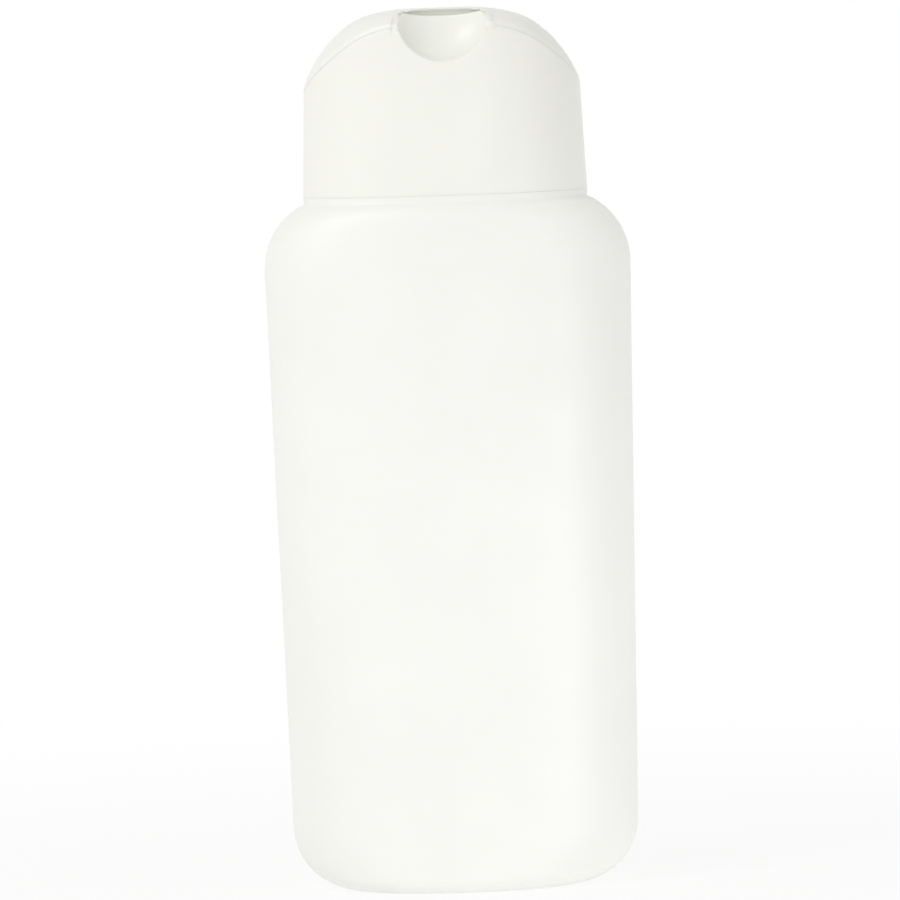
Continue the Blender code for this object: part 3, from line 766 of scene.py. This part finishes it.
def make_lid():
    """The arched lid: roof, lip over the notch, outer wall, rim and hollow underside."""
    angles = closure_angles()
    in_front = np.sin(angles) < 0
    cut = notch_columns(angles, NOTCH_WALL + PARTING_GAP)
    covered = strap_columns(angles)
    set_in = LID_STEP * smooth_step(-np.sin(angles) / LID_STEP_BLEND)
    edge_x, edge_y, _ = roof_edge(angles)

    # Outline from above, with the lip that reaches over the notch
    behind_wall = scoop_depth(edge_x, NOTCH_CENTRE, NOTCH_WALL + PARTING_GAP)
    behind_wall = np.maximum(behind_wall, edge_y + set_in)
    scoop = scoop_depth(edge_x, NOTCH_CENTRE)
    under_lip = RIDGE_HEIGHT - LIP_THICKNESS
    lip = smooth_step((roof(edge_x, scoop) - under_lip) / (LIP_THICKNESS / 3))
    lip *= cut & (np.abs(edge_x) < NOTCH_HALF_WIDTH)
    rim_y = np.where(cut, behind_wall + (scoop - behind_wall) * lip, edge_y + set_in)
    outline = np.stack([edge_x, rim_y], axis=1)
    pocket_y = behind_wall + LIP_POCKET * lip
    corner = NOTCH_HALF_WIDTH + NOTCH_WALL
    beyond = smooth_step((np.abs(edge_x) - corner) / ROOF_ROUNDING)
    r = LIP_EDGE + (ROOF_ROUNDING - LIP_EDGE) * beyond
    r = np.where(in_front, r, ROOF_ROUNDING)
    inward = inward_normals(outline) * r[:, None]

    def under_roof(points, drop):
        return np.column_stack([points, roof(points[:, 0], points[:, 1]) - drop])

    # The roof and the rounding at its edge
    rings = []
    for share in (0.06, 0.15, 0.27, 0.4, 0.52, 0.63, 0.72, 0.79, 0.85, 0.9, 0.94, 0.97):
        rings.append(under_roof(spread_in(outline + inward, share), 0))
    for out, up in turn_points((0, 0), 1, 90, 0)[:-1]:
        rings.append(under_roof(outline + inward * (1 - out), r * (1 - up)))

    # The outer wall, and within the cut the lip's underside and the face behind the notch wall
    bottom = front_height(angles, PARTING_GAP / 2)
    rear_top = roof(edge_x, pocket_y)
    start = roof(edge_x, rim_y) - r
    turn = np.minimum(under_lip, rear_top - LIP_EDGE)
    hidden = reveal_height(pocket_y) - LIP_OVERLAP
    cut_bottom = np.maximum(np.minimum(rear_top - CLOSURE_WALL, hidden), bottom)
    face_bottom = np.where(cut, cut_bottom, bottom)
    rear_rise = RIDGE_HEIGHT - EDGE_FALL - PARTING_HEIGHT
    pocket_share = 1 - HINGE_ARM / rear_rise
    edge = HINGE_GROOVE / rear_rise
    shares = np.concatenate([
        np.linspace(0, 1, 21)[:-1],
        pocket_share + edge * np.array([-1, -0.5, 0, 0.5, 1]),
    ])
    for share in np.sort(shares):
        z = start + (bottom + PARTING_GAP - start) * share
        x, y = wall_point(angles, z)
        wall = np.stack([x, y + set_in - strap_pocket(z, covered), z], axis=1)
        if share <= 0.5:
            y = rim_y + (pocket_y - rim_y) * share * 2
            height = start + (turn - start) * share * 2
        else:
            y = pocket_y
            height = turn + (face_bottom + PARTING_GAP - turn) * (share * 2 - 1)
        rings.append(np.where(cut[:, None], np.stack([edge_x, y, height], axis=1), wall))
    last = rings[-1]

    def inside(z):
        x, y = inner_wall(angles, z, NOTCH_WALL + PARTING_GAP + LIP_SKIRT_WALL, LIP_POCKET * lip)
        return np.stack([x, y, z], axis=1)

    # The rim and the hollow
    tuck = inside(face_bottom)
    for share in (0.06, 0.94, 1):
        ring = last * (1 - share) + tuck * share
        ring[:, 2] = face_bottom
        rings.append(ring)
    ceiling = face_bottom.copy()
    for _ in range(SETTLE_STEPS):
        inner = inside(ceiling)
        ceiling = (ceiling + roof(inner[:, 0], inner[:, 1]) - CLOSURE_WALL) / 2
    ceiling = np.maximum(ceiling, face_bottom + PARTING_GAP)
    for share in (0.03, 0.2, 0.5, 0.8, 0.97):
        rings.append(inside(face_bottom + (ceiling - face_bottom) * share))
    inner = inside(ceiling)
    rings.append(inner)
    for share in (0.97, 0.93, 0.87, 0.8, 0.7, 0.58, 0.44, 0.3, 0.16, 0.06):
        rings.append(under_roof(spread_in(inner[:, :2], share), CLOSURE_WALL))
    return loft(
        "lid_shell",
        rings,
        first_pole=(0, 0, RIDGE_HEIGHT),
        last_pole=(0, 0, RIDGE_HEIGHT - CLOSURE_WALL),
    )


def bevelled(name, bm):
    """A mesh with every edge slightly rounded."""
    width = EDGE_ROUNDING / 2
    bmesh.ops.bevel(bm, geom=bm.edges[:], offset=width, segments=2, profile=0.5, affect="EDGES")
    mesh = bpy.data.meshes.new(name)
    bm.to_mesh(mesh)
    bm.free()
    return mesh


def gather(name, meshes):
    """One piece from several placed meshes."""
    bm = bmesh.new()
    for mesh, matrix in meshes:
        mesh.transform(matrix)
        bm.from_mesh(mesh)
        bpy.data.meshes.remove(mesh)
    whole = bpy.data.meshes.new(name)
    bm.to_mesh(whole)
    bm.free()
    return finish_piece(name, whole)


def make_ribs():
    """The six webs that tie the threaded sleeve to the skirt."""
    meshes = []
    n = CLOSURE_EXPONENT
    middle = (DECK_UNDERSIDE + DECK_TOP) / 2
    half_width, half_depth = closure_half_sizes(DECK_TOP, CLOSURE_WALL / 2)
    for degrees in RIB_ANGLES:
        angle = math.radians(degrees)
        c, s = abs(math.cos(angle)) / half_width, abs(math.sin(angle)) / half_depth
        reach = 1 / (c**n + s**n) ** (1 / n)
        low = Vector((SLEEVE_BORE + CLEARANCE, -RIB_THICKNESS / 2, RIB_FOOT))
        high = Vector((reach, RIB_THICKNESS / 2, middle))
        bm = bmesh.new()
        bmesh.ops.create_cube(bm, size=1)
        for vert in bm.verts:
            vert.co = (low + high) / 2 + vert.co * (high - low)
        meshes.append((bevelled("rib", bm), Matrix.Rotation(angle, 4, "Z")))
    return gather("closure_ribs", meshes)


def make_plug():
    """The plug pin under the lid's roof, with its four webs."""
    angles = np.linspace(0, 2 * math.pi, 48, endpoint=False)
    root = RIDGE_HEIGHT - CLOSURE_WALL / 2
    r = PLUG_ROUNDING
    rings = [circle(angles, PLUG_ROOT_RADIUS, root)]
    start = NOZZLE_TIP + CLEARANCE
    for share in (0.04, 0.35, 0.7, 1):
        radius = PLUG_ROOT_RADIUS + (PLUG_TIP_RADIUS - PLUG_ROOT_RADIUS) * share
        rings.append(circle(angles, radius, root + (start - root) * share))
    for out, up in turn_points((PLUG_TIP_RADIUS - r, PLUG_TIP + r), r, 0, -90):
        rings.append(circle(angles, out, up))
    pin = loft("plug_pin", rings, first_pole=(0, 0, root), last_pole=(0, 0, PLUG_TIP))
    webs = []
    half = PLUG_WEB_THICKNESS / 2
    end = 2 * NOZZLE_TIP - DECK_TOP
    inner = PLUG_TIP_RADIUS / 2
    for turn in range(4):
        bm = bmesh.new()
        outline = [(inner, root), (PLUG_WEB_REACH, root), (PLUG_TIP_RADIUS, end), (inner, end)]
        face = bm.faces.new([bm.verts.new((x, -half, z)) for x, z in outline])
        grown = bmesh.ops.extrude_face_region(bm, geom=[face])
        moved = [item for item in grown["geom"] if isinstance(item, bmesh.types.BMVert)]
        bmesh.ops.translate(bm, verts=moved, vec=(0, 2 * half, 0))
        bmesh.ops.recalc_face_normals(bm, faces=bm.faces)
        webs.append((bevelled("web", bm), Matrix.Rotation(math.pi / 2 * turn, 4, "Z")))
    return pin, gather("plug_webs", webs)


def make_hinge():
    """The living hinge: a strap that follows the wall and thins to a line where it folds."""
    columns = np.linspace(-1, 1, 15) * HINGE_HALF_WIDTH
    bend = np.linspace(-HINGE_BEND, HINGE_BEND, 23)
    arm = np.array([(HINGE_ARM + HINGE_BEND) / 2, HINGE_ARM])
    heights = np.concatenate([-arm[::-1], bend, arm])
    thin = HINGE_GROOVE * np.clip(1 - np.abs(heights) / (2 * HINGE_GROOVE), 0, 1)
    rings = []
    for x in columns:
        back = closure_depth(x, *closure_half_sizes(PARTING_HEIGHT + heights)) - HINGE_SUNK
        front = back - HINGE_THICKNESS + thin
        loop_y = np.concatenate([back, front[::-1]])
        loop_z = PARTING_HEIGHT + np.concatenate([heights, heights[::-1]])
        rings.append(np.stack([np.full_like(loop_y, x), loop_y, loop_z], axis=1))
    count = len(heights)
    mesh = bpy.data.meshes.new("hinge_strap")
    bm = bmesh.new()
    grid = [[bm.verts.new(point) for point in ring] for ring in rings]
    for left, right in zip(grid, grid[1:]):
        for i in range(2 * count):
            j = (i + 1) % (2 * count)
            bm.faces.new((left[i], left[j], right[j], right[i]))
    for loop in (grid[0], grid[-1]):
        for i in range(count - 1):
            bm.faces.new((loop[i], loop[i + 1], loop[2 * count - 2 - i], loop[2 * count - 1 - i]))
    bm.to_mesh(mesh)
    bm.free()
    return finish_piece("hinge_strap", mesh)


def plastic(name, colour, roughness, grain, depth):
    """Plastic with a fine grain, slow changes of tone and gloss and a little light inside it."""
    material = bpy.data.materials.new(name)
    material.use_nodes = True
    nodes = material.node_tree.nodes
    links = material.node_tree.links
    shader = nodes["Principled BSDF"]
    place = nodes.new("ShaderNodeTexCoord")

    def noise(scale, detail):
        texture = nodes.new("ShaderNodeTexNoise")
        texture.inputs["Scale"].default_value = scale
        texture.inputs["Detail"].default_value = detail
        links.new(place.outputs["Object"], texture.inputs["Vector"])
        return texture.outputs["Fac"]

    def spread(source, low, high):
        remap = nodes.new("ShaderNodeMapRange")
        remap.inputs["From Min"].default_value = 0.3
        remap.inputs["From Max"].default_value = 0.7
        remap.inputs["To Min"].default_value = low
        remap.inputs["To Max"].default_value = high
        links.new(source, remap.inputs["Value"])
        return remap.outputs["Result"]

    tone = nodes.new("ShaderNodeMix")
    tone.data_type = "RGBA"
    tone.inputs["A"].default_value = (*[c * 0.985 for c in colour], 1)
    tone.inputs["B"].default_value = (*[min(c * 1.01, 1) for c in colour], 1)
    links.new(spread(noise(45, 3), 0, 1), tone.inputs["Factor"])
    links.new(tone.outputs["Result"], shader.inputs["Base Color"])
    links.new(spread(noise(160, 4), roughness - 0.04, roughness + 0.05), shader.inputs["Roughness"])
    bump = nodes.new("ShaderNodeBump")
    bump.inputs["Strength"].default_value = 0.35
    bump.inputs["Distance"].default_value = depth
    links.new(noise(grain, 5), bump.inputs["Height"])
    links.new(bump.outputs["Normal"], shader.inputs["Normal"])
    shader.inputs["IOR"].default_value = 1.5
    shader.inputs["Subsurface Weight"].default_value = 0.12
    shader.inputs["Subsurface Radius"].default_value = (0.9, 0.85, 0.7)
    shader.inputs["Subsurface Scale"].default_value = 0.002
    return material


def background_rays(nodes, links):
    """1 for the rays that see the background as it is: the camera's, gloss and transmission."""
    path = nodes.new("ShaderNodeLightPath")
    seen = path.outputs["Is Camera Ray"]
    for ray in ("Is Glossy Ray", "Is Transmission Ray"):
        either = nodes.new("ShaderNodeMath")
        either.operation = "MAXIMUM"
        links.new(seen, either.inputs[0])
        links.new(path.outputs[ray], either.inputs[1])
        seen = either.outputs["Value"]
    return seen


def make_floor():
    """A pale floor like a light table, which keeps the object's shadow and fades to white."""
    bpy.ops.mesh.primitive_plane_add(size=FLOOR_SIZE, location=(0, 0, -FLOOR_DROP))
    floor = bpy.context.object
    floor.name = "floor"
    material = bpy.data.materials.new("floor_white")
    material.use_nodes = True
    nodes = material.node_tree.nodes
    links = material.node_tree.links
    shader = nodes["Principled BSDF"]
    shader.inputs["Base Color"].default_value = (*FLOOR_COLOUR, 1)
    shader.inputs["Roughness"].default_value = FLOOR_ROUGHNESS
    place = nodes.new("ShaderNodeTexCoord")
    away = nodes.new("ShaderNodeVectorMath")
    away.operation = "LENGTH"
    links.new(place.outputs["Object"], away.inputs[0])
    fade = nodes.new("ShaderNodeMapRange")
    fade.interpolation_type = "SMOOTHSTEP"
    fade.inputs["From Min"].default_value = FADE_START
    fade.inputs["From Max"].default_value = FADE_END
    fade.inputs["To Min"].default_value = FLOOR_WHITE
    links.new(away.outputs["Value"], fade.inputs["Value"])
    share = nodes.new("ShaderNodeMath")
    share.operation = "MULTIPLY"
    links.new(background_rays(nodes, links), share.inputs[0])
    links.new(fade.outputs["Result"], share.inputs[1])
    glow = nodes.new("ShaderNodeMath")
    glow.operation = "MAXIMUM"
    glow.inputs[1].default_value = FLOOR_GLOW
    links.new(share.outputs["Value"], glow.inputs[0])
    white = nodes.new("ShaderNodeEmission")
    mix = nodes.new("ShaderNodeMixShader")
    links.new(glow.outputs["Value"], mix.inputs["Fac"])
    links.new(shader.outputs["BSDF"], mix.inputs[1])
    links.new(white.outputs["Emission"], mix.inputs[2])
    links.new(mix.outputs["Shader"], nodes["Material Output"].inputs["Surface"])
    floor.data.materials.append(material)


def make_world():
    """Even white surroundings, full white where they are seen and softer as light."""
    world = bpy.data.worlds.new("studio")
    bpy.context.scene.world = world
    world.use_nodes = True
    nodes = world.node_tree.nodes
    links = world.node_tree.links
    surround = nodes["Background"]
    surround.inputs["Color"].default_value = (*SURROUND_COLOUR, 1)
    surround.inputs["Strength"].default_value = SURROUND_STRENGTH
    white = nodes.new("ShaderNodeBackground")
    white.inputs["Color"].default_value = (1, 1, 1, 1)
    white.inputs["Strength"].default_value = 1
    mix = nodes.new("ShaderNodeMixShader")
    links.new(background_rays(nodes, links), mix.inputs["Fac"])
    links.new(surround.outputs["Background"], mix.inputs[1])
    links.new(white.outputs["Background"], mix.inputs[2])
    links.new(mix.outputs["Shader"], nodes["World Output"].inputs["Surface"])


def add_lamp(name, place, target, size, watts, spread=180, colour=(1, 1, 1)):
    """A square soft lamp that looks at a point, with its beam's angle in degrees."""
    data = bpy.data.lights.new(name, "AREA")
    data.shape = "SQUARE"
    data.size = size
    data.energy = watts
    data.color = colour
    data.spread = math.radians(spread)
    lamp = bpy.data.objects.new(name, data)
    bpy.context.scene.collection.objects.link(lamp)
    lamp.location = place
    lamp.rotation_euler = (Vector(target) - Vector(place)).to_track_quat("-Z", "Y").to_euler()


def make_camera():
    """The fitted camera: a long lens a little above and to the left, slightly rolled."""
    azimuth, elevation = CAMERA_AZIMUTH, CAMERA_ELEVATION
    ahead = Vector((
        -math.sin(azimuth) * math.cos(elevation),
        math.cos(azimuth) * math.cos(elevation),
        -math.sin(elevation),
    ))
    level = Vector((math.cos(azimuth), math.sin(azimuth), 0))
    upright = level.cross(ahead)
    right = level * math.cos(CAMERA_ROLL) - upright * math.sin(CAMERA_ROLL)
    up = level * math.sin(CAMERA_ROLL) + upright * math.cos(CAMERA_ROLL)
    data = bpy.data.cameras.new("camera")
    data.lens = CAMERA_LENS
    data.sensor_width = CAMERA_SENSOR
    data.clip_end = CAMERA_REACH
    camera = bpy.data.objects.new("camera", data)
    bpy.context.scene.collection.objects.link(camera)
    axes = Matrix((right, up, -ahead)).transposed().to_4x4()
    camera.matrix_world = Matrix.Translation(CAMERA_AIM - ahead * CAMERA_DISTANCE) @ axes
    bpy.context.scene.camera = camera


bottle_plastic = plastic(
    "bottle_plastic_look", (0.92, 0.925, 0.885), roughness=0.42, grain=1500, depth=0.00004
)
closure_plastic = plastic(
    "closure_plastic_look", (0.90, 0.905, 0.845), roughness=0.36, grain=2200, depth=0.00003
)
seal_foam = plastic("seal_foam_look", (0.93, 0.93, 0.92), roughness=0.85, grain=2600, depth=0.00008)

dress(make_bottle(), "bottle", "bottle_plastic", bottle_plastic, "bottle_body")
dress(make_pinch_line(), "bottle", "bottle_plastic", bottle_plastic)
dress(make_closure(), "closure", "closure_plastic", closure_plastic, "closure_base")
dress(make_ribs(), "closure", "closure_plastic", closure_plastic)
dress(make_lid(), "lid", "closure_plastic", closure_plastic, "flip_lid")
for plug_piece in make_plug():
    dress(plug_piece, "lid", "closure_plastic", closure_plastic)
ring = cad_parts["sealing_ring"]
ring.data.materials.clear()
ring.data.materials.append(seal_foam)

hinge = make_hinge()
hinge.data.materials.append(closure_plastic)
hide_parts("living_hinge")
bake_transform(hinge)

make_floor()
make_world()
add_lamp("key", (-0.95, -0.8, 1.0), target=(0, 0, 0.09), size=0.7, watts=6.3)
add_lamp(
    "low_fill",
    (0.75, -0.85, 0.04),
    target=(0.02, 0, 0.01),
    size=0.12,
    watts=0.024,
    spread=16,
    colour=(0.96, 0.98, 1),
)
add_lamp("cap_fill", (0.3, -1.1, 0.28), target=(0, 0, 0.165), size=0.12, watts=0.0055, spread=16)
make_camera()
bpy.context.scene.view_settings.view_transform = "Standard"
